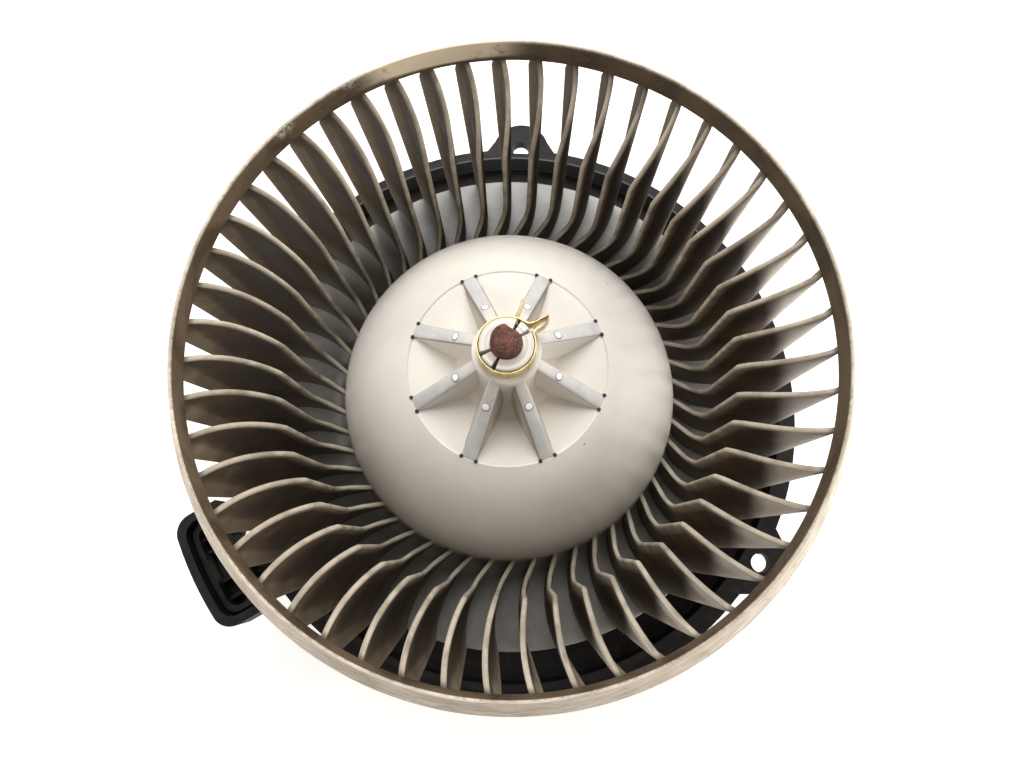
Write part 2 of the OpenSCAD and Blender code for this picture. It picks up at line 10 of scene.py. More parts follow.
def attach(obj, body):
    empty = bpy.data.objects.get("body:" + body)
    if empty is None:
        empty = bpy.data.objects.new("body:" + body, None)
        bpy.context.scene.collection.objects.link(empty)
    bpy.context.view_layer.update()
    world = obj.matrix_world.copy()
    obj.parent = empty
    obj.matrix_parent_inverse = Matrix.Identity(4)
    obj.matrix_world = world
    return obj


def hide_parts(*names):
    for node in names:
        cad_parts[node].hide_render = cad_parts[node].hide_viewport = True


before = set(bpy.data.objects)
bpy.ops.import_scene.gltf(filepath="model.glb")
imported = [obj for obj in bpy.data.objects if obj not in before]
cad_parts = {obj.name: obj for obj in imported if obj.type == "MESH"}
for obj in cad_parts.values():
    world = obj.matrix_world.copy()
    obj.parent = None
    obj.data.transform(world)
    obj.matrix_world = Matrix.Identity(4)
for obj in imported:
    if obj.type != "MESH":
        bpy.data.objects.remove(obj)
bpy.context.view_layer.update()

bl_info = {
    "name": "Cabin blower motor",
    "version": (1, 0, 0),
    "blender": (4, 5, 0),
    "location": "3D View > Sidebar > Blower",
    "description": "Builds the bladed wheel, its flange, its motor and a studio round them",
    "category": "Object",
}

MM = 0.001

# Heights in millimetres above the rest face, as in the CAD source
DISC_LOW = 57.8
DISC_TOP = 59.8
NOSE_Z = 103.2
FLOOR_Z = 102.95
BOSS_TOP = 124.0
RING_LOW = 119.1
RING_TOP = 129.3
BLADE_TOP = 122.976
FLANGE_TOP = 52.0

# Radii in millimetres
RING_IN = 75.0
DOME_R = 49.4
NOSE_R = 25.9
BOSS_R = 8.4
BOSS_TOP_R = 6.4
BORE_R = 3.72
SHAFT_R = 3.7
CLIP_R = 6.8
SLOT_ANGLES = (-166.0, -126.0, 22.0, 54.0)


# ---------------------------------------------------------------- settings


class BlowerSizes(bpy.types.PropertyGroup):
    """Sizes of the wheel's repeated shapes."""

    blade_count: bpy.props.IntProperty(
        name="Blades", description="Number of blades on the wheel", default=51, min=3)
    blade_start: bpy.props.FloatProperty(
        name="First blade", description="Turn of the first blade about the axis",
        default=math.radians(-9.63), subtype="ANGLE")
    blade_thickness: bpy.props.FloatProperty(
        name="Blade thickness", description="Thickness of a blade's web",
        default=1.3 * MM, unit="LENGTH")
    rib_count: bpy.props.IntProperty(
        name="Ribs", description="Number of ribs on the dome's nose", default=8, min=3)
    rib_start: bpy.props.FloatProperty(
        name="First rib", description="Turn of the first rib about the axis",
        default=math.radians(59.8), subtype="ANGLE")
    seed: bpy.props.IntProperty(
        name="Wear seed", description="Seed of the small differences from blade to blade",
        default=7)


class BlowerColours(bpy.types.PropertyGroup):
    """Main colours of the finishes."""

    blade: bpy.props.FloatVectorProperty(
        name="Blade", description="Dusty taupe of the blades' faces",
        default=(0.069, 0.046, 0.023), subtype="COLOR", size=3)
    dome: bpy.props.FloatVectorProperty(
        name="Dome", description="Creamy white of the dome",
        default=(0.72, 0.69, 0.64), subtype="COLOR", size=3)
    skirt: bpy.props.FloatVectorProperty(
        name="Skirt", description="Pale beige of the ring's flared skirt",
        default=(0.62, 0.545, 0.445), subtype="COLOR", size=3)
    flange: bpy.props.FloatVectorProperty(
        name="Flange", description="Black of the moulded flange",
        default=(0.0085, 0.008, 0.0078), subtype="COLOR", size=3)
    brass: bpy.props.FloatVectorProperty(
        name="Clip", description="Brass colour of the spring clip",
        default=(0.8, 0.68, 0.36), subtype="COLOR", size=3)
    rust: bpy.props.FloatVectorProperty(
        name="Shaft", description="Red-brown of the rusty shaft",
        default=(0.12, 0.036, 0.022), subtype="COLOR", size=3)


# ------------------------------------------------------------ mesh helpers


def new_object(name, verts, faces, smooth=True):
    """A mesh object from points in millimetres."""
    mesh = bpy.data.meshes.new(name)
    mesh.from_pydata([(x * MM, y * MM, z * MM) for x, y, z in verts], [], faces)
    mesh.validate()
    obj = bpy.data.objects.new(name, mesh)
    bpy.context.scene.collection.objects.link(obj)
    tidy(obj)
    if smooth:
        mesh.shade_smooth()
    return obj


def tidy(obj, distance=0.002):
    """Merges doubled points and turns every face outwards."""
    bm = bmesh.new()
    bm.from_mesh(obj.data)
    bmesh.ops.remove_doubles(bm, verts=bm.verts, dist=distance * MM)
    bmesh.ops.dissolve_degenerate(bm, edges=bm.edges, dist=0.0002 * MM)
    bmesh.ops.recalc_face_normals(bm, faces=bm.faces)
    bm.to_mesh(obj.data)
    bm.free()


def sharpen(obj, degrees=35):
    """Smooth shading with edges kept sharp past an angle."""
    obj.data.set_sharp_from_angle(angle=math.radians(degrees))


def lathe(name, profile, steps=256, start=0.0, sweep=360.0):
    """Turns a closed (radius, height) outline about the axis, with end caps if it stops short."""
    full = sweep >= 359.9
    rows = steps if full else steps + 1
    verts, faces, n = [], [], len(profile)
    for i in range(rows):
        a = math.radians(start + sweep * i / steps)
        verts += [(r * math.cos(a), r * math.sin(a), z) for r, z in profile]
    for i in range(steps):
        j = (i + 1) % rows
        for k in range(n):
            m = (k + 1) % n
            faces.append((i * n + k, j * n + k, j * n + m, i * n + m))
    if not full:
        faces += [tuple(range(n)), tuple(range((rows - 1) * n, rows * n))]
    return new_object(name, verts, faces)


def rounded(points, closed=True, steps=4):
    """An outline with its corners rounded: each point is (x, y) or (x, y, radius)."""
    out, n = [], len(points)
    for i, p in enumerate(points):
        here = Vector(p[:2])
        radius = p[2] if len(p) > 2 else 0
        if not radius or (not closed and i in (0, n - 1)):
            out.append(tuple(here))
            continue
        back = (Vector(points[i - 1][:2]) - here)
        ahead = (Vector(points[(i + 1) % n][:2]) - here)
        cut = min(radius / math.tan(back.angle(ahead) / 2), back.length * 0.49, ahead.length * 0.49)
        a, b = here + back.normalized() * cut, here + ahead.normalized() * cut
        for k in range(steps + 1):
            t = k / steps
            out.append(tuple(a * (1 - t) ** 2 + here * 2 * t * (1 - t) + b * t * t))
    return out


def arc_between(a, b, radius, steps):
    """Points from a to b on the arc that bulges up and out."""
    a, b = np.array(a, float), np.array(b, float)
    d, mid = b - a, (a + b) / 2
    normal = np.array([d[1], -d[0]]) / np.hypot(*d)
    centre = mid + normal * math.sqrt(radius ** 2 - d @ d / 4)
    t0 = math.atan2(*(a - centre)[::-1])
    t1 = math.atan2(*(b - centre)[::-1])
    return [tuple(centre + radius * np.array([math.cos(t), math.sin(t)]))
            for t in np.linspace(t0, t1, steps)]


def store(obj, name, values):
    """One number for each point, kept as an attribute for a material to read."""
    layer = obj.data.attributes.new(name, "FLOAT", "POINT")
    layer.data.foreach_set("value", np.asarray(values, dtype=np.float32))


def radii(obj):
    """Distance of each point from the axis and its height, in millimetres."""
    co = np.empty(len(obj.data.vertices) * 3)
    obj.data.vertices.foreach_get("co", co)
    co = co.reshape(-1, 3) / MM
    return np.hypot(co[:, 0], co[:, 1]), co


def strip(name, path, width_axis, thickness, segments=None):
    """A flat strip along a path of (x, y, low, high) points, bent like spring steel."""
    verts, faces, n = [], [], len(path)
    pts = np.array([(p[0], p[1]) for p in path])
    for i, (x, y, low, high) in enumerate(path):
        d = pts[min(i + 1, n - 1)] - pts[max(i - 1, 0)]
        d = d / np.hypot(*d)
        nx, ny = -d[1] * thickness / 2, d[0] * thickness / 2
        bevel = thickness * 0.3
        for side, z in ((1, low + bevel), (1, high - bevel), (0.5, high), (-0.5, high),
                        (-1, high - bevel), (-1, low + bevel), (-0.5, low), (0.5, low)):
            verts.append((x + nx * side, y + ny * side, z))
    for i in range(n - 1):
        for k in range(8):
            m = (k + 1) % 8
            faces.append((i * 8 + k, (i + 1) * 8 + k, (i + 1) * 8 + m, i * 8 + m))
    faces += [tuple(range(8)), tuple(range((n - 1) * 8, n * 8))]
    obj = new_object(name, verts, faces)
    sharpen(obj, 50)
    return obj


def smooth_path(points, steps=8):
    """A Catmull-Rom curve through the points."""
    pts = [np.array(p, float) for p in points]
    pts = [2 * pts[0] - pts[1]] + pts + [2 * pts[-1] - pts[-2]]
    out = []
    for i in range(1, len(pts) - 2):
        p0, p1, p2, p3 = pts[i - 1:i + 3]
        for k in range(steps):
            t = k / steps
            out.append(0.5 * (2 * p1 + (p2 - p0) * t + (2 * p0 - 5 * p1 + 4 * p2 - p3) * t * t
                              + (3 * p1 - p0 - 3 * p2 + p3) * t ** 3))
    out.append(pts[-2])
    return out


# --------------------------------------------------------- geometry nodes


def round_array_tree():
    """A node tree that repeats its shape about the axis and gives each copy its own shade."""
    tree = bpy.data.node_groups.get("Round array")
    if tree:
        return tree
    tree = bpy.data.node_groups.new("Round array", "GeometryNodeTree")
    sockets = tree.interface.new_socket
    sockets("Geometry", in_out="INPUT", socket_type="NodeSocketGeometry")
    sockets("Count", in_out="INPUT", socket_type="NodeSocketInt")
    sockets("First angle", in_out="INPUT", socket_type="NodeSocketFloat")
    sockets("Seed", in_out="INPUT", socket_type="NodeSocketInt")
    sockets("Material", in_out="INPUT", socket_type="NodeSocketMaterial")
    sockets("Geometry", in_out="OUTPUT", socket_type="NodeSocketGeometry")
    node, link = tree.nodes.new, tree.links.new
    given, result = node("NodeGroupInput"), node("NodeGroupOutput")

    line = node("GeometryNodeMeshLine")
    line.inputs["Offset"].default_value = (0, 0, 0)
    link(given.outputs["Count"], line.inputs["Count"])

    index = node("GeometryNodeInputIndex")
    step = node("ShaderNodeMath")
    step.operation = "DIVIDE"
    step.inputs[0].default_value = math.tau
    link(given.outputs["Count"], step.inputs[1])
    turn = node("ShaderNodeMath")
    turn.operation = "MULTIPLY_ADD"
    link(index.outputs[0], turn.inputs[0])
    link(step.outputs[0], turn.inputs[1])
    link(given.outputs["First angle"], turn.inputs[2])
    spin = node("ShaderNodeCombineXYZ")
    link(turn.outputs[0], spin.inputs["Z"])

    copies = node("GeometryNodeInstanceOnPoints")
    link(line.outputs["Mesh"], copies.inputs["Points"])
    link(given.outputs["Geometry"], copies.inputs["Instance"])
    link(spin.outputs[0], copies.inputs["Rotation"])

    shade = node("FunctionNodeRandomValue")
    shade.data_type = "FLOAT"
    link(index.outputs[0], shade.inputs["ID"])
    link(given.outputs["Seed"], shade.inputs["Seed"])
    keep = node("GeometryNodeStoreNamedAttribute")
    keep.data_type = "FLOAT"
    keep.domain = "INSTANCE"
    keep.inputs["Name"].default_value = "shade"
    link(copies.outputs[0], keep.inputs["Geometry"])
    link([s for s in shade.outputs if s.enabled][0], keep.inputs["Value"])

    real = node("GeometryNodeRealizeInstances")
    paint = node("GeometryNodeSetMaterial")
    link(keep.outputs[0], real.inputs[0])
    link(real.outputs[0], paint.inputs["Geometry"])
    link(given.outputs["Material"], paint.inputs["Material"])
    link(paint.outputs[0], result.inputs[0])
    return tree


def repeat_round(obj, count, start, material, seed=0):
    """Runs the round array on obj and keeps its result as a plain mesh."""
    tree = round_array_tree()
    modifier = obj.modifiers.new("Round array", "NODES")
    modifier.node_group = tree
    named = {s.name: s.identifier for s in tree.interface.items_tree
             if s.item_type == "SOCKET" and s.in_out == "INPUT"}
    modifier[named["Count"]] = count
    modifier[named["First angle"]] = start
    modifier[named["Seed"]] = seed
    modifier[named["Material"]] = material
    graph = bpy.context.evaluated_depsgraph_get()
    mesh = bpy.data.meshes.new_from_object(obj.evaluated_get(graph), depsgraph=graph)
    obj.modifiers.clear()
    obj.data = mesh
    return obj


# --------------------------------------------------------- material helpers


class Finish:
    """A procedural material built up from small steps; lengths are in millimetres."""

    def __init__(self, name):
        self.material = bpy.data.materials.new(name)
        self.material.use_nodes = True
        self.tree = self.material.node_tree
        self.shader = self.tree.nodes["Principled BSDF"]
        self.place = self.add("ShaderNodeTexCoord").outputs["Object"]
        self.height = None

    def add(self, kind, inputs=None, **settings):
        node = self.tree.nodes.new(kind)
        for key, value in settings.items():
            setattr(node, key, value)
        for key, value in (inputs or {}).items():
            if isinstance(value, bpy.types.NodeSocket):
                self.tree.links.new(value, node.inputs[key])
            else:
                node.inputs[key].default_value = value
        return node

    def maths(self, operation, a, b=0.0, clamp=False):
        return self.add("ShaderNodeMath", {0: a, 1: b}, operation=operation, use_clamp=clamp).outputs[0]

    def axis(self, which):
        return self.maths("MULTIPLY", self.add("ShaderNodeSeparateXYZ", {0: self.place}).outputs[which], 1000.0)

    def radius(self):
        flat = self.add("ShaderNodeVectorMath", {0: self.place, 1: (1000.0, 1000.0, 0.0)}, operation="MULTIPLY")
        return self.add("ShaderNodeVectorMath", {0: flat.outputs[0]}, operation="LENGTH").outputs["Value"]

    def stretched(self, x, y, z):
        return self.add("ShaderNodeVectorMath", {0: self.place, 1: (x, y, z)}, operation="MULTIPLY").outputs[0]

    def noise(self, size, detail=4.0, rough=0.55, distortion=0.0, place=None):
        return self.add("ShaderNodeTexNoise", {
            "Vector": place or self.place, "Scale": 1000.0 / size, "Detail": detail,
            "Roughness": rough, "Distortion": distortion}).outputs["Fac"]

    def cells(self, size, feature="F1", place=None):
        return self.add("ShaderNodeTexVoronoi", {"Vector": place or self.place, "Scale": 1000.0 / size},
                        feature=feature).outputs["Distance"]

    def span(self, value, low, high, out_low=0.0, out_high=1.0, smooth=True):
        return self.add("ShaderNodeMapRange", {"Value": value, "From Min": low, "From Max": high,
                        "To Min": out_low, "To Max": out_high},
                        interpolation_type="SMOOTHSTEP" if smooth else "LINEAR").outputs["Result"]

    def attribute(self, name):
        return self.add("ShaderNodeAttribute", attribute_name=name, attribute_type="GEOMETRY").outputs["Fac"]

    def blend(self, amount, a, b, mode="MIX"):
        full = [tuple(c) + (1.0,) if not isinstance(c, bpy.types.NodeSocket) else c for c in (a, b)]
        node = self.add("ShaderNodeMix", {0: amount, 6: full[0], 7: full[1]}, data_type="RGBA", blend_type=mode)
        return node.outputs[2]

    def near(self, x, y, z, size):
        """1 at a point, falling to 0 at a distance."""
        gap = self.add("ShaderNodeVectorMath", {0: self.place, 1: (x * MM, y * MM, z * MM)}, operation="DISTANCE")
        return self.span(gap.outputs["Value"], 0.0, size * MM, 1.0, 0.0)

    def raise_by(self, value, depth, strength=1.0):
        """Adds a bump whose full height is depth."""
        inputs = {"Height": value, "Distance": depth * MM, "Strength": strength}
        if self.height is not None:
            inputs["Normal"] = self.height
        self.height = self.add("ShaderNodeBump", inputs).outputs["Normal"]

    def close(self, colour, rough, metallic=0.0, **constants):
        for key, value in (("Base Color", colour), ("Roughness", rough), ("Metallic", metallic)):
            if isinstance(value, bpy.types.NodeSocket):
                self.tree.links.new(value, self.shader.inputs[key])
            else:
                self.shader.inputs[key].default_value = value if key != "Base Color" else tuple(value) + (1.0,)
        for key, value in constants.items():
            self.shader.inputs[key.replace("_", " ")].default_value = value
        if self.height is not None:
            self.tree.links.new(self.height, self.shader.inputs["Normal"])
        return self.material


def colours():
    return bpy.context.scene.blower_colours


def sizes():
    return bpy.context.scene.blower_sizes


def blade_finish():
    """Taupe plastic under dust: mottled faces, pale worn edges and paler lips, painted light towards the foot and on
    the outer end of one face, and painted shade where the blades meet the ring.
    """
    f = Finish("dusty_blade")
    base = tuple(colours().blade)
    edge, lip, shade, across = (f.attribute(n) for n in ("edge", "lip", "shade", "across"))
    high = f.axis("Z")
    cloud = f.noise(9.0, 5.0, 0.62, 0.4)
    grain = f.noise(0.55, 3.0, 0.7)
    speck = f.span(f.noise(0.8, 2.0, 0.8), 0.52, 0.66)
    patch = f.span(f.noise(5.0, 4.0, 0.6), 0.42, 0.66)
    colour = f.blend(f.span(cloud, 0.32, 0.7), tuple(c * 0.5 for c in base), tuple(c * 1.5 for c in base))
    colour = f.blend(f.maths("MULTIPLY", f.maths("MULTIPLY", speck, patch), 0.42), colour, (0.24, 0.185, 0.12))
    colour = f.blend(f.maths("MULTIPLY", f.span(high, 118.0, 100.0), f.span(high, 92.0, 106.0)), colour,
                     f.blend(0.5, colour, (0.02, 0.014, 0.009)))
    # painted light: the faces turn lighter grey towards the foot
    colour = f.blend(f.span(high, 82.0, 62.0, 0.0, 0.6), colour, (0.25, 0.235, 0.205))
    colour = f.blend(f.maths("MULTIPLY", lip, f.span(cloud, 0.25, 0.8, 0.35, 0.75)), colour, (0.34, 0.28, 0.2))
    # painted light: pale cream over the outer end of one face of each blade, past a slanted line, with darker lines
    # near the ring
    slant = f.maths("ADD", f.radius(), f.maths("MULTIPLY", high, 0.34))
    slant = f.maths("ADD", slant, f.span(cloud, 0.2, 0.8, -0.5, 0.5))
    cream = f.maths("MULTIPLY", f.span(slant, 102.6, 108.6), f.span(across, -0.3, -0.7))
    lines = f.span(f.maths("SINE", f.maths("MULTIPLY", f.radius(), 7.5)), 0.55, 0.95, 0.0, 0.6)
    lines = f.maths("MULTIPLY", lines, f.span(f.radius(), 74.6, 75.4))
    painted_light_colour = f.blend(lines, f.blend(f.span(grain, 0.3, 0.7), (0.84, 0.79, 0.71), (0.93, 0.89, 0.83)), (0.3, 0.25, 0.19))
    colour = f.blend(f.maths("MULTIPLY", cream, 0.92), colour, painted_light_colour)
    worn = f.span(f.noise(6.0, 3.0, 0.5), 0.3, 0.62, 0.55, 1.0)
    streak = f.noise(1.2, 3.0, 0.6, place=f.stretched(0.25, 0.25, 1.0))
    pale = f.blend(streak, (0.4, 0.345, 0.27), (0.62, 0.56, 0.46))
    colour = f.blend(f.maths("MULTIPLY", edge, worn), colour, pale)
    colour = f.blend(f.maths("MULTIPLY", shade, 0.22), colour, (0.03, 0.024, 0.017))
    # painted shade: darker where the blades meet the ring, under its top
    painted_shade = f.maths("MULTIPLY", f.span(f.radius(), 73.6, 75.0), f.span(high, 115.0, 121.0))
    colour = f.blend(f.maths("MULTIPLY", painted_shade, 0.7), colour, (0.022, 0.016, 0.011))
    f.raise_by(grain, 0.05, 0.6)
    f.raise_by(f.noise(2.4, 4.0, 0.6), 0.12, 0.5)
    return f.close(colour, f.span(cloud, 0.3, 0.7, 0.66, 0.86), Specular_IOR_Level=0.25)


def ring_finish():
    """The ring: dark brown inside, pale beige skirt outside, a painted highlight on the top edge and a painted shadow
    line in the step under it, with scrapes and gouges.
    """
    f = Finish("worn_ring")
    skirt = tuple(colours().skirt)
    r, high = f.radius(), f.axis("Z")
    cloud = f.noise(14.0, 5.0, 0.6, 0.6)
    fine = f.noise(1.1, 4.0, 0.65)
    around = f.stretched(1.0, 1.0, 6.0)
    brushed = f.noise(5.0, 5.0, 0.6, place=around)
    inner = f.blend(f.span(cloud, 0.35, 0.65), (0.055, 0.038, 0.022), (0.12, 0.085, 0.052))
    inner = f.blend(f.span(fine, 0.55, 0.75, 0.0, 0.45), inner, (0.22, 0.17, 0.115))
    outer = f.blend(f.span(brushed, 0.3, 0.7), tuple(c * 0.78 for c in skirt), tuple(min(c * 1.25, 1) for c in skirt))
    outer = f.blend(f.span(cloud, 0.55, 0.78, 0.0, 0.35), outer, (0.26, 0.21, 0.16))
    dirt = f.span(f.noise(2.2, 5.0, 0.7), 0.6, 0.74, 0.0, 0.6)
    # painted shadow line in the step under the ring's top lip
    crease = f.maths("MULTIPLY", f.span(high, 128.0, 128.25), f.span(high, 128.75, 128.5))
    outer = f.blend(f.maths("MULTIPLY", crease, f.span(cloud, 0.3, 0.6, 0.35, 0.8)), outer, (0.09, 0.065, 0.045))
    outer = f.blend(dirt, outer, (0.13, 0.1, 0.075))
    # painted highlight along the rounded top edge, broken up by noise
    edge = f.maths("MULTIPLY", f.span(high, 128.4, 129.2), f.span(fine, 0.3, 0.6, 0.45, 1.0))
    colour = f.blend(f.span(r, 75.15, 75.4), inner, outer)
    top = f.blend(f.span(cloud, 0.35, 0.7), (0.42, 0.36, 0.29), (0.66, 0.6, 0.51))
    colour = f.blend(edge, colour, top)
    rubbed = f.maths("MULTIPLY", f.near(-6.0, 76.0, 129.0, 27.0), f.span(high, 123.0, 125.0))
    scrape = f.maths("MULTIPLY", rubbed,
                     f.span(f.noise(2.6, 4.0, 0.7, 0.8, place=f.stretched(0.5, 1.4, 1.0)), 0.34, 0.48, 0.6, 1.0))
    colour = f.blend(f.span(scrape, 0.0, 0.55), colour, (0.8, 0.69, 0.53))
    f.raise_by(scrape, -0.06)
    for x, y, z, size in ((-46.0, 60.5, 129.0, 4.2), (-29.0, 70.5, 129.0, 3.2), (72.0, -30.0, 128.0, 2.4)):
        gouge = f.maths("MULTIPLY", f.near(x, y, z, size), f.span(f.noise(0.9, 3.0, 0.7), 0.4, 0.55))
        colour = f.blend(gouge, colour, (0.7, 0.64, 0.55))
        f.raise_by(gouge, -0.25)
    f.raise_by(fine, 0.06, 0.6)
    f.raise_by(brushed, 0.1, 0.4)
    return f.close(colour, f.span(cloud, 0.3, 0.7, 0.42, 0.68), Specular_IOR_Level=0.4)


def dome_finish():
    """Creamy white dome and light grey disc, with painted shade at the foot and a few specks."""
    f = Finish("creamy_dome")
    cream = tuple(colours().dome)
    r, high = f.radius(), f.axis("Z")
    cloud = f.noise(22.0, 4.0, 0.55, 0.3)
    colour = f.blend(f.span(cloud, 0.3, 0.7), tuple(c * 0.95 for c in cream), tuple(min(1, c * 1.05) for c in cream))
    disc = f.blend(f.span(f.noise(7.0, 5.0, 0.6), 0.3, 0.7), (0.4, 0.4, 0.39), (0.56, 0.565, 0.56))
    colour = f.blend(f.span(high, 72.0, 62.5), colour, disc)
    # painted shade: darker towards the dome's foot, between the blades
    colour = f.blend(f.maths("MULTIPLY", f.span(high, 84.0, 68.0), 0.45), colour, (0.22, 0.2, 0.17))
    speck = f.maths("MULTIPLY", f.span(f.cells(7.5), 0.045, 0.03), f.span(f.noise(30.0, 2.0), 0.5, 0.58))
    colour = f.blend(f.maths("MULTIPLY", speck, 0.7), colour, (0.16, 0.13, 0.1))
    fleck = f.maths("MULTIPLY", f.span(f.cells(2.6), 0.07, 0.05), f.span(f.noise(16.0, 3.0), 0.55, 0.66))
    colour = f.blend(f.maths("MULTIPLY", fleck, 0.4), colour, (0.2, 0.17, 0.13))
    mark = f.maths("MULTIPLY", f.near(-9.6, 33.0, 99.0, 4.5),
                   f.span(f.noise(3.0, 2.0, place=f.stretched(0.4, 2.2, 1.0)), 0.44, 0.6))
    colour = f.blend(f.maths("MULTIPLY", mark, 0.6), colour, (0.7, 0.74, 0.28))
    ringed = f.maths("SINE", f.maths("MULTIPLY", r, 5.4))
    at_top = f.maths("MULTIPLY", f.span(high, 123.4, 123.9), f.span(r, 7.0, 6.6))
    colour = f.blend(f.maths("MULTIPLY", at_top, f.span(ringed, 0.0, 0.9, 0.0, 0.3)), colour, (0.4, 0.33, 0.25))
    f.raise_by(f.maths("MULTIPLY", at_top, ringed), 0.06, 0.5)
    f.raise_by(f.noise(0.5, 2.0, 0.6), 0.02, 0.4)
    f.raise_by(f.noise(18.0, 2.0), 0.25, 0.25)
    return f.close(colour, f.span(cloud, 0.3, 0.7, 0.34, 0.46), Specular_IOR_Level=0.45)


def rib_finish():
    """Greyer crests on the nose's ribs, with painted shade down both sides, darkest in a thin line under the crest, and
    painted light on the walls that face -Y.
    """
    f = Finish("ribbed_nose")
    depth = f.attribute("depth")
    cloud = f.noise(5.0, 4.0, 0.6)
    colour = f.blend(f.span(cloud, 0.3, 0.7), (0.5, 0.5, 0.495), (0.6, 0.6, 0.59))
    colour = f.blend(f.span(f.radius(), 12.5, 9.5, 0.0, 0.7), colour, (0.66, 0.63, 0.58))
    # painted shade: the rib sides dark under the crest, lighter towards the floor
    side = f.blend(f.span(depth, 0.3, 5.5), (0.2, 0.16, 0.12), (0.55, 0.5, 0.43))
    # painted light: walls facing -Y made pale
    faces_y = f.add("ShaderNodeSeparateXYZ", {0: f.add("ShaderNodeNewGeometry").outputs["Normal"]}).outputs["Y"]
    south_walls_painted_light = f.maths("MULTIPLY", f.span(faces_y, -0.6, -0.76), f.span(depth, 0.3, 0.8, 0.5, 1.0))
    side = f.blend(south_walls_painted_light, side, (0.9, 0.88, 0.84))
    colour = f.blend(f.span(depth, 0.12, 0.34, 0.0, 0.85), colour, side)
    f.raise_by(f.noise(0.5, 2.0, 0.6), 0.02, 0.4)
    return f.close(colour, f.span(cloud, 0.3, 0.7, 0.4, 0.52), Specular_IOR_Level=0.4)


def flange_finish():
    """Black moulded plastic: fine spark-eroded grain, dust on what faces up, and a painted highlight on the far side of
    the raised wall.
    """
    f = Finish("black_moulding")
    base = tuple(colours().flange)
    cloud = f.noise(12.0, 5.0, 0.6, 0.5)
    fine = f.noise(0.7, 3.0, 0.7)
    colour = f.blend(f.span(cloud, 0.35, 0.7), base, tuple(c * 1.7 for c in base))
    up = f.add("ShaderNodeSeparateXYZ", {0: f.add("ShaderNodeNewGeometry").outputs["Normal"]}).outputs["Z"]
    dust = f.maths("MULTIPLY", f.span(up, 0.4, 0.95), f.span(f.noise(3.0, 5.0, 0.7), 0.48, 0.72, 0.0, 0.12))
    colour = f.blend(dust, colour, (0.1, 0.085, 0.065))
    # painted highlight: grey-blue band on the raised wall, on the far side only
    wall = f.maths("MULTIPLY", f.span(f.radius(), 84.1, 84.45), f.span(f.radius(), 85.2, 84.7))
    wall = f.maths("MULTIPLY", wall, f.span(f.axis("Y"), 0.0, 40.0))
    colour = f.blend(f.maths("MULTIPLY", wall, 0.55), colour, (0.15, 0.16, 0.18))
    f.raise_by(fine, 0.04, 0.7)
    f.raise_by(cloud, 0.12, 0.3)
    return f.close(colour, f.span(cloud, 0.3, 0.7, 0.46, 0.64), Specular_IOR_Level=0.18)


def metal_finish(name, colour, dark, rough, grain=1.0, bump=0.03, metallic=1.0):
    """Plain or plated metal with a fine grain, tarnish and small scratches."""
    f = Finish(name)
    cloud = f.noise(6.0, 5.0, 0.6, 0.4)
    drawn = f.noise(grain, 4.0, 0.65, place=f.stretched(1.0, 1.0, 0.12))
    mixed = f.blend(f.span(cloud, 0.35, 0.72), colour, dark)
    mixed = f.blend(f.span(drawn, 0.5, 0.8, 0.0, 0.4), mixed, tuple(min(1, c * 1.35) for c in colour))
    f.raise_by(drawn, bump, 0.6)
    return f.close(mixed, f.span(drawn, 0.3, 0.7, rough - 0.08, rough + 0.12), metallic)


def plastic_finish(name, colour, rough, mottle=0.25):
    """Moulded plastic with a faint flow pattern and a fine skin."""
    f = Finish(name)
    cloud = f.noise(8.0, 4.0, 0.6, 0.6)
    mixed = f.blend(f.span(cloud, 0.3, 0.7), tuple(c * (1 - mottle) for c in colour),
                    tuple(min(1, c * (1 + mottle)) for c in colour))
    f.raise_by(f.noise(0.6, 3.0, 0.7), 0.03, 0.6)
    return f.close(mixed, f.span(cloud, 0.3, 0.7, rough - 0.06, rough + 0.08))


def rust_finish():
    """Red-brown rust, granular, with paler mineral crumbs."""
    f = Finish("rusty_steel")
    base = tuple(colours().rust)
    grain = f.noise(0.45, 4.0, 0.75)
    cloud = f.noise(2.0, 4.0, 0.6)
    colour = f.blend(f.span(cloud, 0.35, 0.7), tuple(c * 0.5 for c in base), tuple(c * 1.4 for c in base))
    crumbs = f.span(f.noise(0.3, 2.0, 0.8), 0.56, 0.66)
    colour = f.blend(f.maths("MULTIPLY", crumbs, f.span(f.axis("Z"), 127.4, 128.2, 0.25, 0.85)), colour, (0.5, 0.29, 0.24))
    f.raise_by(crumbs, 0.14)
    f.raise_by(grain, 0.22)
    f.raise_by(cloud, 0.25, 0.6)
    return f.close(colour, f.span(grain, 0.3, 0.7, 0.55, 0.85))


def winding_finish():
    """Lacquered copper wire laid side by side."""
    f = Finish("lacquered_copper")
    r = f.radius()
    wires = f.maths("SINE", f.maths("MULTIPLY", f.maths("ADD", r, f.axis("Z")), 9.0))
    colour = f.blend(f.span(wires, -1.0, 1.0), (0.2, 0.06, 0.025), (0.55, 0.23, 0.1))
    f.raise_by(wires, 0.2)
    return f.close(colour, 0.35, 0.85)


def laminated_finish():
    """Stacked steel sheets with a dark varnish."""
    f = Finish("laminated_steel")
    layers = f.maths("SINE", f.maths("MULTIPLY", f.axis("Z"), 12.6))
    colour = f.blend(f.span(layers, -0.6, 0.9), (0.09, 0.09, 0.095), (0.3, 0.3, 0.31))
    f.raise_by(layers, 0.08, 0.7)
    return f.close(colour, f.span(f.noise(1.5), 0.3, 0.7, 0.35, 0.5), 0.9)


# ---------------------------------------------------------------- pieces


def ride(obj, body, slot, *nodes):
    """Puts a finished piece on its CAD body, in place of nodes; slot is not used."""
    if nodes:
        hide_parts(*nodes)
    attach(obj, body)


